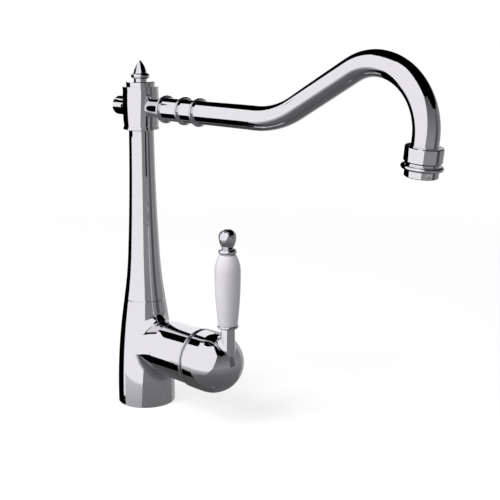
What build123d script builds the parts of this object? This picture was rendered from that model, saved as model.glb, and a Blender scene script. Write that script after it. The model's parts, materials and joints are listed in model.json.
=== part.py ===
from build123d import *
import math
import os

os.makedirs("parts", exist_ok=True)

# One-hole kitchen mixer tap, in millimetres. The origin is the centre of the base on the deck, +Z is up and
# +X is the way that the spout and the valve boss point. Names end in _r for radii, _d for depths, _t for
# thicknesses, _h for heights, _w for widths and _gap for clearances.

# Lower casting
base_r = 24.2
waist_r = 22.2            # casting at the height of the valve boss
seam_r = 17.4             # where the upper column stands on the casting
seam_z = 91.6
edge_break = 0.5          # small bevel on turned edges
gasket_in_r = 18.6
gasket_w = 2.8
gasket_t = 2.0

# Hose inlets and fixing stud
inlet_r = 4.5             # tapped M10 x 1
inlet_thread = 14.0
inlet_bore_r = 3.5
inlet_x = 2.0
inlet_y = 8.0
stud_r = 3.4              # tapped M8
stud_d = 18.0
stud_x = -10.5
drill_over = 1.0          # how far a bore runs past the one that it meets

# Valve boss and the socket that the cap turns in
boss_z = 53.0
boss_r = 23.4
boss_root_r = 18.5
boss_reach = 70.5         # column axis to the mouth of the boss
boss_straight = 36.5      # plain length behind the mouth
boss_fillet = 8.0
trim_t = 1.6
trim_proud = 1.1          # trim ring above the boss surface
mouth_lip = 0.33          # boss surface in to the cap at the mouth
dome_swell = 1.53         # cap wider in front of the mouth than at the mouth
dome_run = 14.8           # mouth of the boss to the cap's domed end
ball_stand = 12.0         # mouth of the boss to the pivot
ball_gap = 0.3
ball_wall = 1.8
tilt_range = 22.0         # lever tilt in degrees
lap_angle = 3.0           # how far the cap still reaches behind the mouth, in degrees

# Cartridge
housing_r = 12.5
housing_wall = 1.0
housing_lip = 2.0
flange_r = 15.0
flange_t = 4.0
seat_gap = 0.05
nut_r = 17.5
nut_t = 6.0
nut_in = 10.0             # mouth of the boss to the face of the nut
nut_gap = 0.1
notch_w = 5.0
notch_d = 2.5
port_r = 2.5
port_y = 5.2
port_drop = 4.0           # supply ports below the boss axis
mixed_r = 2.8
mixed_rise = 5.5          # mixed-water port above the boss axis
seal_w = 1.4
seal_t = 1.2
disc_t = 4.0
disc_gap = 0.3
chamber_disc_r = 6.0      # mixing hollow in the moving disc
chamber_disc_d = 2.0
carrier_t = 4.0
arm_length = 10.0         # pivot to the tip that moves the disc
arm_tip_r = 2.2
tip_gap = 0.3
turret_gap = 0.5
turn_gap = 0.08
slot_gap = 0.15
turret_neck_r = 8.9
turret_shoulder = 3.6
turret_stand = 5.5        # turret past the pivot
arm_room = 5.0            # half height of the turret's opening for the arm
pin_r = 1.5
pin_gap = 0.05
pin_short = 0.3
spindle_w = 6.0
spindle_h = 8.0
spindle_out = 19.0        # pivot to the spindle's outer end
pivot_room = 0.8

# Lever
lever_out = 19.7          # pivot to the lever
hub_r = 8.0
hub_start = 9.5           # pivot to the back of the hub
grub_r = 2.5
grub_length = 7.0
grub_out = 14.0           # pivot to the grub screw
grub_key_r = 1.4
grub_key_d = 3.0
stem_r = 5.7
stem_rise = 28.5          # boss axis to the joint between the cap and the stem
stem_h = 4.0
stem_fillet = 4.0
plug_r = 4.0
plug_lift = 1.5           # stem plug above the spindle
ferrule_r = 8.6
ferrule_t = 2.5
handle_foot_r = 7.8
handle_belly_r = 10.4
handle_top_r = 6.6
handle_h = 57.0
handle_belly_h = 43.3
rod_r = 2.5
rod_gap = 0.1
rod_seat = 6.0            # rod let into the stem and the knob
collar_r = 7.3
collar_t = 4.8
knob_neck_r = 4.1
knob_r = 7.05
knob_h = 15.2
knob_belly_h = 9.5
knob_flat_r = 2.0         # flat on top of the knob

# Upper column and swivel
column_h = 142.7          # seam to the shoulder under the head
column_top_r = 10.3
column_mid_r = 13.4
column_mid_h = 37.5
column_upper_r = 11.2     # half way between there and the shoulder
column_bore_r = 5.5
spigot_r = 13.0
spigot_d = 13.0
riser_r = 5.5
journal_r = 9.0
journal_gap = 0.06
slip_t = 1.0
slip_gap = 0.1
face_gap = 0.05
oring_r = 0.88            # half the cord of an O-ring
groove_d = 1.8
groove_w = 2.4
side_port_r = 3.0
top_thread_r = 5.0
retain_r = 10.2
retain_flange_t = 1.5
retain_hex_r = 8.5
retain_h = 3.6

# Head
head_h = 34.8
head_foot_r = 14.7
head_waist_r = 14.1
head_belly_r = 14.9
head_belly_h = 23.0
head_neck_r = 14.5
rim_t = 2.2
chamber_r = 11.0
chamber_h = 9.0
counterbore_r = 10.6
cap_r = 11.7
cap_h = 4.0
cap_spigot_d = 2.4
cap_gap = 0.4
finial_neck_r = 5.3
finial_neck_h = 2.2
finial_bead_r = 7.6
finial_bead_t = 4.6
acorn_r = 5.5
acorn_h = 10.2
acorn_swell = 0.7         # share of the acorn's radius left half way up
acorn_tip_r = 0.4
finial_stud_r = 2.5
finial_stud_d = 5.0
button_r = 7.7
button_reach = 29.5
button_crown = 1.6
button_plug_r = 4.0

# Spout
axis_up = 18.0            # underside of the head to the spout axis
tube_r = 9.15
tube_wall = 1.0
neck_plug_r = 5.8
neck_foot_r = 8.6
neck_waist_r = 7.3
neck_waist_x = 19.0
neck_bore_r = 4.4
bead_r = 11.2
bead_t = 2.0
bead_one_x = 32.2
bead_two_x = 54.4
bead_three_x = 71.4
sleeve_r = 9.3
sleeve_bore_r = 7.0
sleeve_thread = 9.0
tube_spigot = 10.0        # sleeve let into the tube
spout_reach = 287.4       # column axis to the centreline at its furthest
rise_angle = 29.0
bend_r = 80.0
arch_r = 42.0
arch_up = 44.2            # spout axis to the top of the arch's centreline
outlet_drop = 2.75        # spout axis to the top of the outlet collar, before it leans
outlet_lean = 6.5         # how far the outlet leans back towards the column, in degrees

# Outlet
outlet_r = 12.9
outlet_h = 10.5
outlet_bevel = 1.0
tube_seat = 5.2           # tube let into the collar
web_t = 1.5
web_bore_r = 7.6
thread_r = 11.0           # M22 x 1
washer_t = 1.5
aerator_gap = 1.5         # thread that shows between the collar and the flange
aerator_flange_r = 14.2
aerator_flange_t = 3.2
aerator_r = 11.4
aerator_h = 4.9
aerator_lip = 1.2
insert_r = 9.4
insert_h = 6.0
mesh_t = 1.0
mesh_pitch = 2.4
mesh_hole_r = 0.8
jet_hole_r = 0.9
jet_ring_r = 6.0
jet_count = 12

# Levels and stations that follow from these
shoulder_z = seam_z + column_h
head_z = shoulder_z + slip_t + face_gap
axis_z = head_z + axis_up
head_top_z = head_z + head_h
counter_z = head_top_z - cap_spigot_d - cap_gap - retain_h - slip_t - 2 * face_gap
journal_top_z = counter_z + slip_t + 2 * face_gap
cap_top_z = head_top_z + cap_h
oring_up = chamber_h / 2 + groove_w
spigot_ring_z = seam_z - spigot_d / 2
plug_in_r = chamber_r + cap_gap
pivot_x = boss_reach + ball_stand
dome_x = boss_reach + dome_run
mouth_r = boss_r - mouth_lip
ball_r = math.hypot(mouth_r, ball_stand)
dome_r = mouth_r + dome_swell
lever_x = pivot_x + lever_out
carrier_x = pivot_x - arm_length - arm_tip_r - tip_gap
moving_x = carrier_x - disc_t
fixed_x = moving_x - disc_t
nut_x = boss_reach - nut_in - nut_t
housing_x = nut_x - flange_t
port_x = housing_x - flange_t
turret_x = carrier_x + carrier_t + turret_gap
lip_x = turret_x + turret_shoulder + turn_gap
housing_bore_r = housing_r - housing_wall
half_tilt = math.radians(tilt_range) / 2
disc_travel = arm_length * math.radians(tilt_range)
disc_z = boss_z - disc_travel / 2
disc_r = housing_bore_r - disc_gap - disc_travel / 2
supply_z = boss_z - port_drop
mixed_z = boss_z + mixed_rise
stem_z = boss_z + stem_rise
ferrule_z = stem_z + stem_h
handle_z = ferrule_z + ferrule_t
handle_top_z = handle_z + handle_h
knob_z = handle_top_z + collar_t
sleeve_x = bead_one_x + bead_t / 2
tube_x = bead_three_x + bead_t / 2
arch_x = spout_reach - arch_r
arch_z = axis_z + arch_up - arch_r
outlet_z = axis_z - outlet_drop
tube_end_z = outlet_z - tube_seat
washer_z = tube_end_z - web_t - washer_t
flange_z = outlet_z - outlet_h - aerator_gap
aerator_z = flange_z - aerator_flange_t - aerator_h
mesh_z = aerator_z + aerator_lip
insert_z = mesh_z + mesh_t

low = (Align.CENTER, Align.CENTER, Align.MIN)


def rod_z(radius, start, end, x=0.0, y=0.0):
    return Pos(x, y, start) * Cylinder(radius, end - start, align=low)


def ring_z(inner, outer, start, end, x=0.0, y=0.0):
    return rod_z(outer, start, end, x, y) - rod_z(inner, start, end, x, y)


def rod_x(radius, start, end, y=0.0, z=boss_z):
    return Pos(start, y, z) * Rot(0, 90, 0) * Cylinder(radius, end - start, align=low)


def ring_x(inner, outer, start, end, y=0.0, z=boss_z):
    return rod_x(outer, start, end, y, z) - rod_x(inner, start, end, y, z)


def outline_face(outline):
    if isinstance(outline[0], tuple):
        return make_face(Polyline(*outline, close=True))
    return make_face(outline)


def turned_z(*outline, x=0.0):
    # outline in (radius, height), as points or as edges in order
    return Pos(x, 0, 0) * revolve(Plane.XZ * outline_face(outline), Axis.Z)


def turned_x(*outline, z=boss_z):
    # outline in (station along X, radius)
    return Pos(0, 0, z) * revolve(outline_face(outline), Axis.X)


def bead_z(inner, outer, middle, thickness, x=0.0):
    # a ring with a half-round rim
    half = thickness / 2
    rim = outer - half
    return turned_z(
        Polyline((rim, middle + half), (inner, middle + half), (inner, middle - half), (rim, middle - half)),
        ThreePointArc((rim, middle - half), (outer, middle), (rim, middle + half)),
        x=x,
    )


def bead_x(inner, outer, middle, thickness, z):
    half = thickness / 2
    rim = outer - half
    return turned_x(
        Polyline((middle + half, rim), (middle + half, inner), (middle - half, inner), (middle - half, rim)),
        ThreePointArc((middle - half, rim), (middle, outer), (middle + half, rim)),
        z=z,
    )


def cap_form(inset):
    # round about the pivot as far as it turns in the mouth, then straight with a domed end
    radius = dome_r - inset
    round_r = ball_r - inset
    lead = math.sqrt(round_r**2 - radius**2)
    turn = math.degrees(math.atan2(radius, lead))
    return turned_x(
        Line((pivot_x - round_r, 0), (dome_x + radius, 0)),
        CenterArc((dome_x, 0), radius, 0, 90),
        Line((dome_x, radius), (pivot_x - lead, radius)),
        CenterArc((pivot_x, 0), round_r, 180 - turn, turn),
    )


def socket_ball():
    return Pos(pivot_x, 0, boss_z) * Sphere(ball_r + ball_gap)


def blend_edges(solid):
    # where two turned forms cross, the edge is neither straight nor round
    return [edge for edge in solid.edges() if edge.geom_type not in (GeomType.LINE, GeomType.CIRCLE)]


def ports():
    # centre and radius of the two supplies and the mixed outlet, in (y, z)
    return [(-port_y, supply_z, port_r), (port_y, supply_z, port_r), (0, mixed_z, mixed_r)]


# Lower casting with its boss
def lower_body():
    top = seam_z - edge_break
    casting = turned_z(
        Polyline(
            (base_r, edge_break), (base_r - edge_break, 0), (0, 0), (0, seam_z),
            (seam_r - edge_break, seam_z), (seam_r, top),
        ),
        ThreePointArc((seam_r, top), (waist_r, boss_z), (base_r, edge_break)),
    )
    mouth = boss_reach - trim_t
    boss = turned_x(
        (0, 0), (0, boss_root_r), (boss_reach - boss_straight, boss_r), (mouth - edge_break, boss_r),
        (mouth, boss_r - edge_break), (mouth, 0),
    )
    # the line where the turned form closes is kept at the back, clear of the boss
    solid = Rot(0, 0, 180) * casting + boss
    solid = fillet(blend_edges(solid), boss_fillet)
    solid -= ring_z(gasket_in_r, gasket_in_r + gasket_w, 0, gasket_t)
    solid -= rod_z(stud_r, 0, stud_d, stud_x)
    for side in (-1, 1):
        solid -= rod_z(inlet_r, 0, inlet_thread, inlet_x, side * inlet_y)
        solid -= rod_z(inlet_bore_r, 0, supply_z + port_r + drill_over, inlet_x, side * inlet_y)
        solid -= rod_x(port_r, inlet_x, port_x, side * port_y, supply_z)
    solid -= rod_x(mixed_r, 0, port_x, 0, mixed_z)
    solid -= rod_z(riser_r, mixed_z - mixed_r - drill_over, seam_z)
    solid -= rod_z(spigot_r, seam_z - spigot_d, seam_z)
    solid -= rod_x(flange_r + seat_gap, port_x, nut_x)
    solid -= rod_x(nut_r, nut_x, boss_reach)
    return solid - socket_ball()


# Ring that trims the mouth of the boss
def socket_ring():
    outer = boss_r + trim_proud
    ring = bead_x(outer - 2 * trim_t, outer, boss_reach - trim_t / 2, trim_t, boss_z)
    return ring - socket_ball()


# Seal between the base and the deck
def base_gasket():
    return ring_z(gasket_in_r, gasket_in_r + gasket_w, 0, gasket_t)


# Upper column with the journal that the head turns on
def upper_column():
    foot = (seam_r, seam_z + edge_break)
    middle = (column_mid_r, seam_z + column_mid_h)
    top = (column_top_r, shoulder_z)
    half_way = (column_upper_r, (middle[1] + shoulder_z) / 2)
    upper = ThreePointArc(top, half_way, middle)
    lower = TangentArc(middle, foot, tangent=upper % 1)
    spigot_z = seam_z - spigot_d
    thread_z = journal_top_z + retain_h
    shape = turned_z(
        Polyline(
            foot, (seam_r - edge_break, seam_z), (spigot_r, seam_z), (spigot_r, spigot_z), (0, spigot_z),
            (0, thread_z), (top_thread_r, thread_z), (top_thread_r, journal_top_z),
            (journal_r, journal_top_z), (journal_r, shoulder_z), top,
        ),
        upper,
        lower,
    )
    shape -= rod_z(column_bore_r, spigot_z, axis_z + chamber_h / 2)
    for turn in (0, 90):
        shape -= Pos(0, 0, axis_z) * Rot(0, 0, turn) * Rot(0, 90, 0) * Cylinder(side_port_r, 2 * chamber_r)
    half = groove_w / 2
    for level in (axis_z - oring_up, axis_z + oring_up):
        shape -= ring_z(journal_r - groove_d, journal_r, level - half, level + half)
    return shape - ring_z(spigot_r - groove_d, spigot_r, spigot_ring_z - half, spigot_ring_z + half)


def column_oring():
    return Pos(0, 0, spigot_ring_z) * Torus(spigot_r - groove_d / 2, oring_r)


def swivel_orings():
    major = journal_r - groove_d / 2
    return Compound([Pos(0, 0, axis_z + side * oring_up) * Torus(major, oring_r) for side in (-1, 1)])


def lower_slip_ring():
    return ring_z(journal_r + slip_gap, column_top_r - slip_gap, shoulder_z, shoulder_z + slip_t)


def upper_slip_ring():
    start = counter_z + face_gap
    return ring_z(journal_r + slip_gap, retain_r, start, start + slip_t)


# Nut that keeps the head on its journal
def retaining_nut():
    nut = rod_z(retain_r, journal_top_z, journal_top_z + retain_flange_t)
    nut += Pos(0, 0, journal_top_z) * extrude(RegularPolygon(retain_hex_r, 6), retain_h)
    return nut - rod_z(top_thread_r, journal_top_z, journal_top_z + retain_h)


# Cartridge, from the water side outwards
def cartridge_base():
    base = rod_x(flange_r, port_x, housing_x) + rod_x(housing_bore_r - disc_gap, housing_x, fixed_x)
    for y, z, radius in ports():
        base -= rod_x(radius, port_x, fixed_x, y, z)
        base -= rod_x(radius + seal_w, port_x, port_x + seal_t, y, z)
    return base


def cartridge_seals():
    end_x = port_x + seal_t
    return Compound([ring_x(radius, radius + seal_w, port_x, end_x, y, z) for y, z, radius in ports()])


def fixed_disc():
    disc = rod_x(housing_bore_r - disc_gap, fixed_x, moving_x)
    for y, z, radius in ports():
        disc -= rod_x(radius, fixed_x, moving_x, y, z)
    return disc


def moving_disc():
    disc = rod_x(disc_r, moving_x, carrier_x, 0, disc_z)
    return disc - rod_x(chamber_disc_r, moving_x, moving_x + chamber_disc_d, 0, disc_z)


def disc_carrier():
    carrier = rod_x(disc_r, carrier_x, carrier_x + carrier_t, 0, disc_z)
    slot = Box(2 * carrier_t, spindle_w + 2 * slot_gap, 2 * (arm_tip_r + disc_gap))
    return carrier - Pos(carrier_x + carrier_t / 2, 0, boss_z - arm_length * math.sin(half_tilt)) * slot


def cartridge_housing():
    housing = ring_x(housing_bore_r, flange_r, housing_x, nut_x)
    housing += ring_x(housing_bore_r, housing_r, nut_x, lip_x)
    return housing + ring_x(turret_neck_r + turn_gap, housing_r, lip_x, lip_x + housing_lip)


def cartridge_nut():
    nut = ring_x(housing_r + nut_gap, nut_r, nut_x, nut_x + nut_t)
    for turn in (0, 90):
        notch = Box(notch_d, 2 * nut_r, notch_w)
        nut -= Pos(nut_x + nut_t - notch_d / 2, 0, boss_z) * Rot(turn, 0, 0) * notch
    return nut


# Turret that turns with the lever and carries its pivot
def turret():
    shoulder_x = turret_x + turret_shoulder
    end_x = pivot_x + turret_stand
    solid = rod_x(housing_bore_r - turn_gap, turret_x, shoulder_x) + rod_x(turret_neck_r, shoulder_x, end_x)
    slot_w = spindle_w + 2 * slot_gap
    slot_x = pivot_x - spindle_h / 2 - pivot_room
    solid -= Pos((slot_x + end_x) / 2, 0, boss_z) * Box(end_x - slot_x, slot_w, 2 * housing_r)
    solid -= Pos(turret_x, 0, boss_z) * Box(2 * turret_shoulder, slot_w, 2 * arm_room)
    return solid - pin_form(pin_r)


def pin_form(radius):
    return Pos(pivot_x, 0, boss_z) * Rot(90, 0, 0) * Cylinder(radius, 2 * (turret_neck_r - pin_short))


def pivot_pin():
    return pin_form(pin_r)


# Spindle with the bent arm that moves the disc
def spindle():
    side = Plane.XZ * (
        Circle(spindle_h / 2)
        + Pos(spindle_out / 2, 0) * Rectangle(spindle_out, spindle_h)
        + Rot(0, 0, math.degrees(half_tilt)) * Pos(-arm_length / 2, 0) * Rectangle(arm_length, 2 * arm_tip_r)
        + Rot(0, 0, math.degrees(half_tilt)) * Pos(-arm_length, 0) * Circle(arm_tip_r)
    )
    return Pos(pivot_x, 0, boss_z) * extrude(side, spindle_w / 2, both=True) - pin_form(pin_r + pin_gap)


# Domed cap that carries the lever
def lever_cap():
    post = rod_z(stem_r, boss_z, stem_z, lever_x)
    solid = fillet(blend_edges(cap_form(0) + post), stem_fillet)
    solid -= cap_form(ball_wall)
    hub = rod_x(hub_r, pivot_x + hub_start, dome_x + dome_r) & cap_form(0)
    solid += hub + post
    mouth_angle = math.asin(ball_stand / ball_r) + math.radians(lap_angle) + half_tilt
    back = ball_r * math.sin(mouth_angle)
    behind = Pos(-back - ball_r, 0, 0) * Box(2 * ball_r, 4 * ball_r, 4 * ball_r)
    solid -= Pos(pivot_x, 0, boss_z) * Rot(0, -math.degrees(half_tilt), 0) * behind
    solid -= Pos(pivot_x + spindle_out / 2, 0, boss_z) * Box(spindle_out, spindle_w, spindle_h)
    solid -= rod_z(grub_r, boss_z - 2 * ball_r, boss_z, pivot_x + grub_out)
    return solid - rod_z(plug_r, plug_z(), stem_z, lever_x)


def plug_z():
    return boss_z + spindle_h / 2 + plug_lift


def grub_screw():
    top = boss_z - spindle_h / 2
    x = pivot_x + grub_out
    screw = rod_z(grub_r, top - grub_length, top, x)
    return screw - Pos(x, 0, top - grub_length) * extrude(RegularPolygon(grub_key_r, 6), grub_key_d)


def lever_stem():
    stem = rod_z(plug_r, plug_z(), stem_z, lever_x) + rod_z(stem_r, stem_z, ferrule_z, lever_x)
    return stem - rod_z(rod_r, ferrule_z - rod_seat, ferrule_z, lever_x)


def lower_ferrule():
    return bead_z(rod_r + rod_gap, ferrule_r, ferrule_z + ferrule_t / 2, ferrule_t, lever_x)


def ceramic_handle():
    bore = rod_r + rod_gap
    belly = (handle_belly_r, handle_z + handle_belly_h)
    foot = (handle_foot_r, handle_z)
    top = (handle_top_r, handle_top_z)
    return turned_z(
        Polyline(top, (bore, handle_top_z), (bore, handle_z), foot),
        TangentArc(belly, foot, tangent=(0, -1)),
        TangentArc(belly, top, tangent=(0, 1)),
        x=lever_x,
    )


def handle_rod():
    return rod_z(rod_r, ferrule_z - rod_seat, knob_z + rod_seat, lever_x)


def upper_ferrule():
    return bead_z(rod_r + rod_gap, collar_r, handle_top_z + collar_t / 2, collar_t, lever_x)


def knob():
    belly = (knob_r, knob_z + knob_belly_h)
    neck = (knob_neck_r, knob_z)
    crown_z = knob_z + knob_h
    crown = (knob_flat_r, crown_z)
    solid = turned_z(
        Polyline(crown, (0, crown_z), (0, knob_z), neck),
        TangentArc(belly, neck, tangent=(0, -1)),
        TangentArc(belly, crown, tangent=(0, 1)),
        x=lever_x,
    )
    return solid - rod_z(rod_r, knob_z, knob_z + rod_seat, lever_x)


# Head that turns on the column
def head_form():
    foot_z = head_z + rim_t
    rim_z = head_top_z - rim_t
    return turned_z(
        Polyline(
            (head_waist_r, foot_z), (head_foot_r, foot_z), (head_foot_r, head_z), (0, head_z),
            (0, head_top_z), (head_foot_r, head_top_z), (head_foot_r, rim_z), (head_neck_r, rim_z),
        ),
        ThreePointArc((head_neck_r, rim_z), (head_belly_r, head_z + head_belly_h), (head_waist_r, foot_z)),
    )


def head_barrel():
    solid = head_form()
    solid -= rod_z(journal_r + journal_gap, head_z, head_top_z)
    solid -= rod_z(counterbore_r, counter_z, head_top_z)
    solid -= rod_z(chamber_r, axis_z - chamber_h / 2, axis_z + chamber_h / 2)
    solid -= rod_x(neck_bore_r, 0, plug_in_r, 0, axis_z)
    solid -= rod_x(neck_plug_r, plug_in_r, 2 * head_foot_r, 0, axis_z)
    return solid - rod_x(button_plug_r, -2 * head_foot_r, 0, 0, axis_z)


def head_cap():
    start = head_top_z - cap_spigot_d
    cap = turned_z(
        (0, start), (counterbore_r, start), (counterbore_r, head_top_z), (cap_r, head_top_z),
        (cap_r, cap_top_z - edge_break), (cap_r - edge_break, cap_top_z), (0, cap_top_z),
    )
    return cap - rod_z(finial_stud_r, cap_top_z - finial_stud_d, cap_top_z)


def finial():
    bead_z0 = cap_top_z + finial_neck_h
    acorn_z = bead_z0 + finial_bead_t
    tip_z = acorn_z + acorn_h
    half_way = (acorn_swell * acorn_r, acorn_z + acorn_h / 2)
    bead_rim = (finial_bead_r, bead_z0 + finial_bead_t / 2)
    solid = rod_z(finial_stud_r, cap_top_z - finial_stud_d, cap_top_z)
    solid += rod_z(finial_neck_r, cap_top_z, bead_z0)
    solid += turned_z(
        Polyline((finial_neck_r, bead_z0), (0, bead_z0), (0, acorn_z), (acorn_r, acorn_z)),
        ThreePointArc((acorn_r, acorn_z), bead_rim, (finial_neck_r, bead_z0)),
    )
    solid += turned_z(
        Polyline((acorn_tip_r, tip_z), (0, tip_z), (0, acorn_z), (acorn_r, acorn_z)),
        ThreePointArc((acorn_r, acorn_z), half_way, (acorn_tip_r, tip_z)),
    )
    return solid


# Domed plug behind the head
def rear_button():
    crown = button_crown - button_reach
    button = turned_x(
        Polyline((-button_reach, 0), (0, 0), (0, button_r), (crown, button_r)),
        TangentArc((-button_reach, 0), (crown, button_r), tangent=(0, 1)),
        z=axis_z,
    )
    return button - head_form() + rod_x(button_plug_r, -head_foot_r, -plug_in_r, 0, axis_z)


# Neck and beaded sleeve of the spout
def spout_neck():
    flare_x = bead_one_x - bead_t / 2
    flare = turned_x(
        Polyline((flare_x, sleeve_r), (flare_x, 0), (0, 0), (0, neck_foot_r)),
        ThreePointArc((0, neck_foot_r), (neck_waist_x, neck_waist_r), (flare_x, sleeve_r)),
        z=axis_z,
    )
    neck = flare - head_form() + rod_x(neck_plug_r, plug_in_r, neck_waist_x, 0, axis_z)
    neck += bead_x(0, bead_r, bead_one_x, bead_t, axis_z)
    neck += rod_x(sleeve_bore_r, sleeve_x, sleeve_x + sleeve_thread, 0, axis_z)
    return neck - rod_x(neck_bore_r, 0, sleeve_x + sleeve_thread, 0, axis_z)


def spout_collar():
    sleeve = rod_x(sleeve_r, sleeve_x, tube_x, 0, axis_z)
    for x in (bead_two_x, bead_three_x):
        sleeve += bead_x(0, bead_r, x, bead_t, axis_z)
    sleeve += rod_x(tube_r - tube_wall, tube_x, tube_x + tube_spigot, 0, axis_z)
    return sleeve - rod_x(sleeve_bore_r, sleeve_x, tube_x + tube_spigot, 0, axis_z)


# Spout tube: level run, rise, arch and drop
def spout_path():
    slope = math.radians(rise_angle)
    along = Vector(math.cos(slope), 0, math.sin(slope))
    lean = math.radians(outlet_lean)
    down = Vector(-math.sin(lean), 0, -math.cos(lean))
    arch_end = Vector(arch_x + arch_r * math.cos(lean), 0, arch_z - arch_r * math.sin(lean))
    rise_end = Vector(arch_x - arch_r * math.sin(slope), 0, arch_z + arch_r * math.cos(slope))
    corner = rise_end - along * ((rise_end.Z - axis_z) / math.sin(slope))
    tangent = bend_r * math.tan(slope / 2)
    run = Line((tube_x, 0, axis_z), corner - Vector(tangent, 0, 0))
    bend = TangentArc(run @ 1, corner + along * tangent, tangent=run % 1)
    rise = Line(bend @ 1, rise_end)
    arch = TangentArc(rise @ 1, arch_end, tangent=rise % 1)
    drop = Line(arch @ 1, arch_end + down * (arch_z - tube_end_z))
    return Wire([run, bend, rise, arch, drop])


def spout_tube():
    path = spout_path()
    start = Plane(path @ 0, z_dir=path % 0)
    tube = sweep(start * Circle(tube_r), path) - sweep(start * Circle(tube_r - tube_wall), path)
    section = math.pi * (tube_r**2 - (tube_r - tube_wall) ** 2)
    print("spout tube volume", round(tube.volume), "section times length", round(section * path.length))
    return tube


# Outlet collar and aerator, drawn upright and then leaned back about the centre of the arch
def leaned(solid):
    return Pos(arch_x, 0, arch_z) * Rot(0, outlet_lean, 0) * Pos(-arch_x, 0, -arch_z) * solid


def outlet_collar():
    bottom = outlet_z - outlet_h
    shelf = tube_end_z - web_t
    collar = turned_z(
        (tube_r, outlet_z), (outlet_r - outlet_bevel / 2, outlet_z), (outlet_r, outlet_z - outlet_bevel / 2),
        (outlet_r, bottom + outlet_bevel), (outlet_r - outlet_bevel, bottom), (thread_r, bottom),
        (thread_r, shelf), (web_bore_r, shelf), (web_bore_r, tube_end_z), (tube_r, tube_end_z),
        x=spout_reach,
    )
    return leaned(collar)


def aerator_washer():
    return leaned(ring_z(web_bore_r, thread_r, washer_z, washer_z + washer_t, spout_reach))


def aerator_housing():
    housing = rod_z(thread_r, flange_z, washer_z, spout_reach)
    housing += bead_z(0, aerator_flange_r, flange_z - aerator_flange_t / 2, aerator_flange_t, spout_reach)
    housing += turned_z(
        (0, aerator_z), (aerator_r - edge_break, aerator_z), (aerator_r, aerator_z + edge_break),
        (aerator_r, flange_z - aerator_flange_t), (0, flange_z - aerator_flange_t),
        x=spout_reach,
    )
    housing -= rod_z(insert_r, mesh_z, washer_z, spout_reach)
    return leaned(housing - rod_z(insert_r - aerator_lip, aerator_z, mesh_z, spout_reach))


def aerator_mesh():
    mesh = rod_z(insert_r, mesh_z, insert_z, spout_reach)
    holes = []
    count = int(insert_r / mesh_pitch)
    row_step = mesh_pitch * math.sqrt(3) / 2
    for row in range(-count, count + 1):
        for column in range(-count - 1, count + 1):
            x = mesh_pitch * (column + (row % 2) / 2)
            y = row_step * row
            if math.hypot(x, y) < insert_r - aerator_lip - mesh_hole_r:
                holes.append(rod_z(mesh_hole_r, mesh_z, insert_z, spout_reach + x, y))
    return leaned(mesh - holes)


def aerator_insert():
    insert = rod_z(insert_r, insert_z, insert_z + insert_h, spout_reach)
    jets = []
    for turn in range(jet_count):
        angle = 2 * math.pi * turn / jet_count
        x = spout_reach + jet_ring_r * math.cos(angle)
        jets.append(rod_z(jet_hole_r, insert_z, insert_z + insert_h, x, jet_ring_r * math.sin(angle)))
    return leaned(insert - jets)


pieces = [
    lower_body, socket_ring, base_gasket, upper_column, column_oring, swivel_orings, lower_slip_ring,
    upper_slip_ring, retaining_nut, cartridge_base, cartridge_seals, fixed_disc, cartridge_housing,
    cartridge_nut, turret, pivot_pin, moving_disc, disc_carrier, spindle, lever_cap, grub_screw,
    lever_stem, lower_ferrule, ceramic_handle, handle_rod, upper_ferrule, knob, head_barrel, head_cap,
    finial, rear_button, spout_neck, spout_collar, spout_tube, outlet_collar, aerator_washer,
    aerator_housing, aerator_mesh, aerator_insert,
]

for piece in pieces:
    export_step(piece(), f"parts/{piece.__name__}.step")
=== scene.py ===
import json
import math

import bpy
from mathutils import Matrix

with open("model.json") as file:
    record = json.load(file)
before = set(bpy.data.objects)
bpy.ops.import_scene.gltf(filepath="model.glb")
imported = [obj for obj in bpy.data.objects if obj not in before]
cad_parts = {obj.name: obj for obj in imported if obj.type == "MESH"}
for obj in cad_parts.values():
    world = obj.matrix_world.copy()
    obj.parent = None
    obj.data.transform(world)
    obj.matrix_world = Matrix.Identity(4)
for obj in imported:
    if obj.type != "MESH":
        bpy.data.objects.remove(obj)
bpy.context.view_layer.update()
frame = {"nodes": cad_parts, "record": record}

nodes = frame["nodes"]
scene = bpy.context.scene
print("frame loaded,", len(nodes), "pieces")

# The Mix node's colour sockets go by number, because its other kinds use the same names
mixFactor, mixFirst, mixSecond, mixResult = 0, 6, 7, 2


def linearColour(hexCode):
    channels = [int(hexCode[at:at + 2], 16) / 255 for at in (1, 3, 5)]
    return (*[c / 12.92 if c <= 0.04045 else ((c + 0.055) / 1.055) ** 2.4 for c in channels], 1)


def addNode(tree, kind, links=None, **settings):
    made = tree.nodes.new(kind)
    for name, value in settings.items():
        setattr(made, name, value)
    for socket, source in (links or {}).items():
        if isinstance(source, bpy.types.NodeSocket):
            tree.links.new(source, made.inputs[socket])
        else:
            made.inputs[socket].default_value = source
    return made


def newMaterial(name):
    material = bpy.data.materials.new(name)
    material.use_nodes = True
    material.node_tree.nodes.clear()
    return material, material.node_tree


def perMetre(sizeMm):
    return 1000 / sizeMm  # noise scale whose features are about this many millimetres wide


# Polished chrome plate on buffed brass castings: a mirror with a cool tint, a faint haze left by the
# buffing wheel and a slow ripple from the hand-finished metal below, so straight reflections waver a little.
chromeFinish = {
    "colour": ("#E9E7EC", "#E2E0E6"),
    "roughness": (0.03, 0.06),
    "wornRange": (0.12, 0.42),  # of haze times wheel marks, spread over the roughness
    "hazeMm": 9,
    "hazeDetail": 3.0,
    "hazeRoughness": 0.6,
    "wheelMarkMm": 2.5,         # real buffing marks are about 0.05 mm, drawn coarser so that they show
    "wheelMarkDetail": 2.0,
    "rippleMm": 30,
    "rippleDetail": 0.0,
    "rippleDepth": 0.00004,     # metres
    "rippleStrength": 0.5,
}


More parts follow.
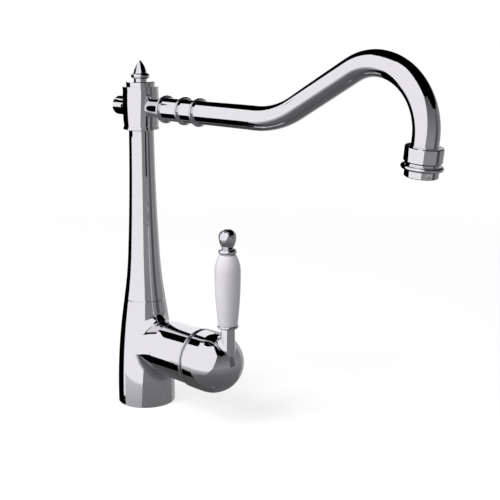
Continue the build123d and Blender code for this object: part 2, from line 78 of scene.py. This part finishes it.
def chromePlate():
    material, tree = newMaterial("Chrome_plate_polished")
    place = addNode(tree, "ShaderNodeTexCoord").outputs["Object"]
    haze = addNode(tree, "ShaderNodeTexNoise", {
        "Vector": place, "Scale": perMetre(chromeFinish["hazeMm"]),
        "Detail": chromeFinish["hazeDetail"], "Roughness": chromeFinish["hazeRoughness"]})
    marks = addNode(tree, "ShaderNodeTexNoise", {
        "Vector": place, "Scale": perMetre(chromeFinish["wheelMarkMm"]),
        "Detail": chromeFinish["wheelMarkDetail"]})
    worn = addNode(tree, "ShaderNodeMath", {
        0: haze.outputs["Fac"], 1: marks.outputs["Fac"]}, operation="MULTIPLY")
    least, most = chromeFinish["wornRange"]
    low, high = chromeFinish["roughness"]
    rough = addNode(tree, "ShaderNodeMapRange", {
        "Value": worn.outputs[0], "From Min": least, "From Max": most, "To Min": low, "To Max": high})
    bright, dull = [linearColour(tone) for tone in chromeFinish["colour"]]
    plate = addNode(tree, "ShaderNodeMix", {
        mixFactor: haze.outputs["Fac"], mixFirst: bright, mixSecond: dull}, data_type="RGBA")
    ripple = addNode(tree, "ShaderNodeTexNoise", {
        "Vector": place, "Scale": perMetre(chromeFinish["rippleMm"]), "Detail": chromeFinish["rippleDetail"]})
    bump = addNode(tree, "ShaderNodeBump", {
        "Height": ripple.outputs["Fac"],
        "Strength": chromeFinish["rippleStrength"], "Distance": chromeFinish["rippleDepth"]})
    shader = addNode(tree, "ShaderNodeBsdfPrincipled", {
        "Base Color": plate.outputs[mixResult], "Metallic": 1.0,
        "Roughness": rough.outputs["Result"], "Normal": bump.outputs["Normal"]})
    addNode(tree, "ShaderNodeOutputMaterial", {"Surface": shader.outputs[0]})
    return material


# White glazed earthenware: an off-white body under clear glaze, which pools unevenly in slow waves,
# so its highlight is soft and its tone drifts a little.
ceramicFinish = {
    "colour": ("#ECEAEC", "#E4E1E4"),
    "poolMm": 16,
    "poolDetail": 2.0,
    "waveMm": 12,
    "waveDetail": 1.0,
    "waveDepth": 0.00006,       # metres
    "waveStrength": 0.6,
    "roughness": 0.16,
    "ior": 1.5,
    "coat": 0.5,
    "coatRoughness": 0.08,
}


def glazedCeramic():
    material, tree = newMaterial("Earthenware_white_glazed")
    place = addNode(tree, "ShaderNodeTexCoord").outputs["Object"]
    pool = addNode(tree, "ShaderNodeTexNoise", {
        "Vector": place, "Scale": perMetre(ceramicFinish["poolMm"]), "Detail": ceramicFinish["poolDetail"]})
    wave = addNode(tree, "ShaderNodeTexNoise", {
        "Vector": place, "Scale": perMetre(ceramicFinish["waveMm"]), "Detail": ceramicFinish["waveDetail"]})
    bump = addNode(tree, "ShaderNodeBump", {
        "Height": wave.outputs["Fac"],
        "Strength": ceramicFinish["waveStrength"], "Distance": ceramicFinish["waveDepth"]})
    pale, deep = [linearColour(tone) for tone in ceramicFinish["colour"]]
    glaze = addNode(tree, "ShaderNodeMix", {
        mixFactor: pool.outputs["Fac"], mixFirst: pale, mixSecond: deep}, data_type="RGBA")
    shader = addNode(tree, "ShaderNodeBsdfPrincipled", {
        "Base Color": glaze.outputs[mixResult],
        "Roughness": ceramicFinish["roughness"], "IOR": ceramicFinish["ior"],
        "Coat Weight": ceramicFinish["coat"], "Coat Roughness": ceramicFinish["coatRoughness"],
        "Normal": bump.outputs["Normal"]})
    addNode(tree, "ShaderNodeOutputMaterial", {"Surface": shader.outputs[0]})
    return material


# The inner pieces: what shows of them is at the aerator's mouth, under the foot and in the gaps.
# Their real grain and tool marks are finer, and are drawn coarser so that they show.
innerFinishes = {
    "rubber": {    # moulded nitrile: near black, matt, with a fine grain from the mould
        "name": "Nitrile_rubber_moulded", "colour": ("#1B1B1C", "#232324"), "metallic": 0.0,
        "roughness": (0.55, 0.75), "grainMm": 0.5, "depth": 0.00003},
    "brass": {     # turned brass, uncoated: warm yellow, with fine tool marks and slight tarnish
        "name": "Brass_turned", "colour": ("#CDAE6A", "#B8965A"), "metallic": 1.0,
        "roughness": (0.22, 0.36), "grainMm": 0.7, "depth": 0.00002},
    "nylon": {     # moulded nylon: milky grey-white with a satin skin
        "name": "Nylon_moulded", "colour": ("#DEDEDB", "#D3D3CF"), "metallic": 0.0,
        "roughness": (0.38, 0.5), "grainMm": 0.8, "depth": 0.00002},
    "alumina": {   # lapped alumina: ivory white, flat and close to a mirror
        "name": "Alumina_lapped", "colour": ("#EFECE5", "#E7E3DA"), "metallic": 0.0,
        "roughness": (0.12, 0.2), "grainMm": 0.5, "depth": 0.00001},
    "steel": {     # machined stainless steel: mid grey with fine tool marks
        "name": "Stainless_steel_machined", "colour": ("#C3C3C4", "#B5B5B7"), "metallic": 1.0,
        "roughness": (0.2, 0.34), "grainMm": 0.6, "depth": 0.00002},
}
innerGrain = {"detail": 3.0, "range": (0.3, 0.7), "strength": 0.6}


def innerMaterial(finish):
    material, tree = newMaterial(finish["name"])
    place = addNode(tree, "ShaderNodeTexCoord").outputs["Object"]
    grain = addNode(tree, "ShaderNodeTexNoise", {
        "Vector": place, "Scale": perMetre(finish["grainMm"]), "Detail": innerGrain["detail"]})
    least, most = innerGrain["range"]
    low, high = finish["roughness"]
    rough = addNode(tree, "ShaderNodeMapRange", {
        "Value": grain.outputs["Fac"], "From Min": least, "From Max": most, "To Min": low, "To Max": high})
    bump = addNode(tree, "ShaderNodeBump", {
        "Height": grain.outputs["Fac"], "Strength": innerGrain["strength"], "Distance": finish["depth"]})
    toneA, toneB = [linearColour(tone) for tone in finish["colour"]]
    tint = addNode(tree, "ShaderNodeMix", {
        mixFactor: grain.outputs["Fac"], mixFirst: toneA, mixSecond: toneB}, data_type="RGBA")
    shader = addNode(tree, "ShaderNodeBsdfPrincipled", {
        "Base Color": tint.outputs[mixResult], "Metallic": finish["metallic"],
        "Roughness": rough.outputs["Result"], "Normal": bump.outputs["Normal"]})
    addNode(tree, "ShaderNodeOutputMaterial", {"Surface": shader.outputs[0]})
    return material


finishes = {slot: innerMaterial(finish) for slot, finish in innerFinishes.items()}
finishes["chrome_plate"] = chromePlate()
finishes["glazed_ceramic"] = glazedCeramic()
print("materials made,", len(finishes))

for part in frame["record"]["subparts"]:
    piece = nodes[part["node"]]
    piece.data.materials.clear()
    piece.data.materials.append(finishes[part["material_slot"]])
print("pieces dressed")

# Camera at the photograph's angle
cameraSet = {
    "azimuth": 45.0,            # degrees
    "pitch": 12.47,
    "place": (0.70696, -0.57990, 0.33386),
    "lens": 79.2,               # millimetres
    "sensor": 36.0,
    "clip": (0.05, 50),
}
cameraData = bpy.data.cameras.new("Photo_camera")
cameraData.lens = cameraSet["lens"]
cameraData.sensor_width = cameraSet["sensor"]
cameraData.clip_start, cameraData.clip_end = cameraSet["clip"]
camera = bpy.data.objects.new("Photo_camera", cameraData)
camera.location = cameraSet["place"]
camera.rotation_euler = (math.radians(90 - cameraSet["pitch"]), 0, math.radians(cameraSet["azimuth"]))
scene.collection.objects.link(camera)
scene.camera = camera
print("camera placed")


def seenRays(tree):
    # 1 for what the camera sees, directly, in metal or through glass, and 0 for light on surfaces
    path = addNode(tree, "ShaderNodeLightPath").outputs
    seenOrGlossy = addNode(tree, "ShaderNodeMath", {
        0: path["Is Camera Ray"], 1: path["Is Glossy Ray"]}, operation="MAXIMUM")
    seen = addNode(tree, "ShaderNodeMath", {
        0: seenOrGlossy.outputs[0], 1: path["Is Transmission Ray"]}, operation="MAXIMUM")
    return seen.outputs[0]


# White surroundings at strength 1 for the eye and for reflections, and a softer grey as plain fill light
worldSet = {"fill": "#A9A9AD", "seen": "#FFFFFF"}
world = bpy.data.worlds.new("White_studio")
scene.world = world
world.use_nodes = True
tree = world.node_tree
tree.nodes.clear()
fill = addNode(tree, "ShaderNodeBackground", {"Color": linearColour(worldSet["fill"]), "Strength": 1.0})
white = addNode(tree, "ShaderNodeBackground", {"Color": linearColour(worldSet["seen"]), "Strength": 1.0})
mixed = addNode(tree, "ShaderNodeMixShader", {0: seenRays(tree), 1: fill.outputs[0], 2: white.outputs[0]})
addNode(tree, "ShaderNodeOutputWorld", {"Surface": mixed.outputs[0]})

# Large soft lamp, high on the left and towards the camera
lampSet = {
    "turn": -48,                # degrees from the camera's direction
    "height": 1.25,
    "distance": 1.2,
    "size": 0.9,
    "watts": 22.0,
    "aim": (0.08, 0, 0.1),
}


def aroundObject(turn, distance, height):
    # a place at an angle from the camera's direction, positive to the right in the picture
    angle = math.radians(turn + cameraSet["azimuth"] - 90)
    return (distance * math.cos(angle), distance * math.sin(angle), height)


lampData = bpy.data.lights.new("Soft_lamp", "AREA")
lampData.energy = lampSet["watts"]
lampData.size = lampSet["size"]
lamp = bpy.data.objects.new("Soft_lamp", lampData)
lamp.location = aroundObject(lampSet["turn"], lampSet["distance"], lampSet["height"])
aim = bpy.data.objects.new("Lamp_aim", None)
aim.location = lampSet["aim"]
scene.collection.objects.link(aim)
track = lamp.constraints.new("TRACK_TO")
track.target = aim
track.track_axis = "TRACK_NEGATIVE_Z"
track.up_axis = "UP_Y"
scene.collection.objects.link(lamp)
lamp.visible_glossy = False     # the boards below give the reflections
print("lights placed")

# Pale matt floor, which keeps the shadow and fades out into the white surroundings
floorSet = {
    "colour": "#A4A4A4",
    "glow": "#FFFFFF",
    "lift": 0.74,               # strength of the glow that brings the lit paint up to white for the eye
    "solidTo": 0.55,            # metres from the column
    "goneAt": 1.1,
}
reach = floorSet["goneAt"]
floorCorners = [(-reach, -reach, 0), (reach, -reach, 0), (reach, reach, 0), (-reach, reach, 0)]
floorMesh = bpy.data.meshes.new("Floor")
floorMesh.from_pydata(floorCorners, [], [(0, 1, 2, 3)])
floor = bpy.data.objects.new("Floor", floorMesh)
scene.collection.objects.link(floor)
floor.visible_glossy = False    # the chrome shows the low boards in its place
material, tree = newMaterial("Floor_white_painted")
lift = addNode(tree, "ShaderNodeMath", {0: seenRays(tree), 1: floorSet["lift"]}, operation="MULTIPLY")
glow = addNode(tree, "ShaderNodeEmission", {
    "Color": linearColour(floorSet["glow"]), "Strength": lift.outputs[0]})
paint = addNode(tree, "ShaderNodeBsdfDiffuse", {"Color": linearColour(floorSet["colour"])})
both = addNode(tree, "ShaderNodeAddShader", {0: paint.outputs[0], 1: glow.outputs[0]})
place = addNode(tree, "ShaderNodeTexCoord").outputs["Object"]
far = addNode(tree, "ShaderNodeVectorMath", {0: place}, operation="LENGTH")
fade = addNode(tree, "ShaderNodeMapRange", {
    "Value": far.outputs["Value"], "From Min": floorSet["solidTo"], "From Max": floorSet["goneAt"]},
    interpolation_type="SMOOTHSTEP")
clear = addNode(tree, "ShaderNodeBsdfTransparent")
floorMix = addNode(tree, "ShaderNodeMixShader", {
    0: fade.outputs["Result"], 1: both.outputs[0], 2: clear.outputs[0]})
addNode(tree, "ShaderNodeOutputMaterial", {"Surface": floorMix.outputs[0]})
floorMesh.materials.append(material)

# Glowing boards that only the reflections see, which paint the chrome's light and dark bands into its
# reflections.
# Far boards stand on a dome round the object. Each has four corners, as turn and height angle in degrees
# (lower left, lower right, upper right, upper left), its tones at the foot and at the top, and its distance.
# Boards over the object lie level, with their corners as x and y. Upright ones face along x: each has its x,
# its y from and to at the foot, the same at the top, the heights of foot and top, and its tone.
boardSet = {
    "centre": (0.06, 0, 0.15),
    "steps": 16,                # divisions along each side of a far board
    "far": {
        "Board_black_left": ((-180, -60), (-97, -60), (-93, -21), (-180, -21), "#000000", "#000000", 5.0),
        "Board_low_left": ((-180, -89), (-97, -89), (-97, -46), (-180, -16), "#565656", "#464646", 1.3),
        "Board_low_front": ((-97, -89), (-30, -89), (-30, -36), (-97, -36), "#5C5C5C", "#6C6C6C", 1.3),
        "Board_low_right": ((-30, -89), (180, -89), (180, -36), (-30, -36), "#5C5C5C", "#6C6C6C", 1.3),
        "Board_pale_low": ((-97, -36), (-30, -36), (-14, -22), (-93, -20), "#7C7C7C", "#D4D4D4", 1.3),
        "Board_grey_low": ((-30, -36), (180, -36), (180, -12), (-2, -12), "#6C6C6C", "#8A8A8A", 1.3),
        "Board_grey_front": ((-2, -12), (87, -12), (87, 36), (20, 36), "#929292", "#585858", 1.3),
        "Board_dark_strip": ((66, -14), (87, -14), (87, 22), (66, 22), "#505050", "#6A6A6A", 1.25),
        "Board_grey_right": ((87, -12), (180, -12), (180, 30), (87, 36), "#8C8C8C", "#707070", 1.3),
        "Board_pale_back": ((132, -36), (180, -36), (180, 36), (132, 36), "#A0A0A0", "#C4C4C4", 1.2),
        "Board_black_right": ((20, 36), (105, 36), (105, 78), (10, 78), "#000000", "#000000", 1.3),
        "Board_black_high": ((-180, 60), (-100, 60), (-20, 78), (-180, 78), "#000000", "#000000", 1.3),
        "Board_black_top": ((-180, 78), (180, 78), (180, 89), (-180, 89), "#000000", "#000000", 1.3),
    },
    "overHeight": 0.4,
    "overTone": "#000000",
    "over": {
        # these black boards are cut to the outlines of the boss, cap, fillet and spout below them, and put
        # painted dark reflections on those parts
        "Board_over_boss": ((-0.56, -0.14), (-0.42, -0.24), (-0.27, -0.178), (-0.27, -0.09), (-0.56, -0.09)),
        "Board_over_cap": ((-0.27, -0.178), (-0.21, -0.178), (-0.21, -0.01), (-0.27, -0.01)),
        "Board_over_fillet": ((-0.42, -0.03), (-0.27, -0.03), (-0.27, 0.0), (-0.42, 0.0)),
        "Board_over_spout": (
            (-0.2, -0.005), (0.0, -0.035), (0.25, -0.035), (0.45, 0.0), (0.6, 0.1),
            (0.6, 0.5), (-0.4, 0.5), (-0.33, 0.33), (-0.26, 0.14)),
    },
    "upright": {
        # these boards stand close beside the column, head, outlet and boss: the black ones put painted dark
        # bands on the chrome there, and the white card puts a painted white patch on the boss
        "Board_left_of_column": (-0.1, (-0.085, 0.06), (-0.085, 0.06), (-0.06, 0.232), "#000000"),
        "Board_left_of_head": (-0.1, (-0.05, 0.06), (-0.05, 0.06), (0.232, 0.31), "#000000"),
        "Board_beside_head": (-0.03, (-0.048, -0.018), (-0.048, -0.018), (0.225, 0.31), "#000000"),
        "Board_left_of_outlet": (0.255, (-0.05, 0.013), (-0.008, 0.013), (0.17, 0.295), "#000000"),
        "Board_card_at_boss": (0.005, (-0.036, -0.0215), (-0.036, -0.0215), (0.042, 0.1), "#FFFFFF"),
    },
}


def addBoard(name, points, faces, footTone, topTone):
    mesh = bpy.data.meshes.new(name)
    mesh.from_pydata(points, [], faces)
    board = bpy.data.objects.new(name, mesh)
    scene.collection.objects.link(board)
    # each board glows at its own tone whatever the lamps do, so its tone is a painted reflection on the
    # chrome, not a lit card
    material, tree = newMaterial(name + "_painted")
    shade = linearColour(footTone)
    if topTone != footTone:
        heights = [point[2] for point in points]
        place = addNode(tree, "ShaderNodeTexCoord").outputs["Object"]
        rise = addNode(tree, "ShaderNodeSeparateXYZ", {0: place}).outputs["Z"]
        up = addNode(tree, "ShaderNodeMapRange", {
            "Value": rise, "From Min": min(heights), "From Max": max(heights)})
        blend = addNode(tree, "ShaderNodeMix", {
            mixFactor: up.outputs["Result"], mixFirst: linearColour(footTone),
            mixSecond: linearColour(topTone)}, data_type="RGBA")
        shade = blend.outputs[mixResult]
    paint = addNode(tree, "ShaderNodeEmission", {"Color": shade, "Strength": 1.0})
    addNode(tree, "ShaderNodeOutputMaterial", {"Surface": paint.outputs[0]})
    material.cycles.emission_sampling = "NONE"
    mesh.materials.append(material)
    board.visible_camera = False
    board.visible_diffuse = False
    board.visible_shadow = False
    board.visible_transmission = False


def domePoint(turn, rise, distance):
    # a place on a dome round the object
    level = math.radians(rise)
    spot = aroundObject(turn, distance * math.cos(level), distance * math.sin(level))
    return tuple(offset + middle for offset, middle in zip(spot, boardSet["centre"]))


def between(start, end, share):
    return [(1 - share) * a + share * b for a, b in zip(start, end)]


steps = boardSet["steps"]
wide = steps + 1
gridFaces = []
for row in range(steps):
    for column in range(steps):
        first = row * wide + column
        gridFaces.append((first, first + 1, first + wide + 1, first + wide))
for name, (lowLeft, lowRight, highRight, highLeft, footTone, topTone, distance) in boardSet["far"].items():
    points = []
    for row in range(wide):
        for column in range(wide):
            foot = between(lowLeft, lowRight, column / steps)
            top = between(highLeft, highRight, column / steps)
            turn, rise = between(foot, top, row / steps)
            points.append(domePoint(turn, rise, distance))
    addBoard(name, points, gridFaces, footTone, topTone)
for name, outline in boardSet["over"].items():
    points = [(x, y, boardSet["overHeight"]) for x, y in outline]
    addBoard(name, points, [tuple(range(len(points)))], boardSet["overTone"], boardSet["overTone"])
for name, (x, foot, top, (low, high), tone) in boardSet["upright"].items():
    points = [(x, foot[0], low), (x, foot[1], low), (x, top[1], high), (x, top[0], high)]
    addBoard(name, points, [(0, 1, 2, 3)], tone, tone)
print("stage set")

scene.view_settings.view_transform = "Standard"
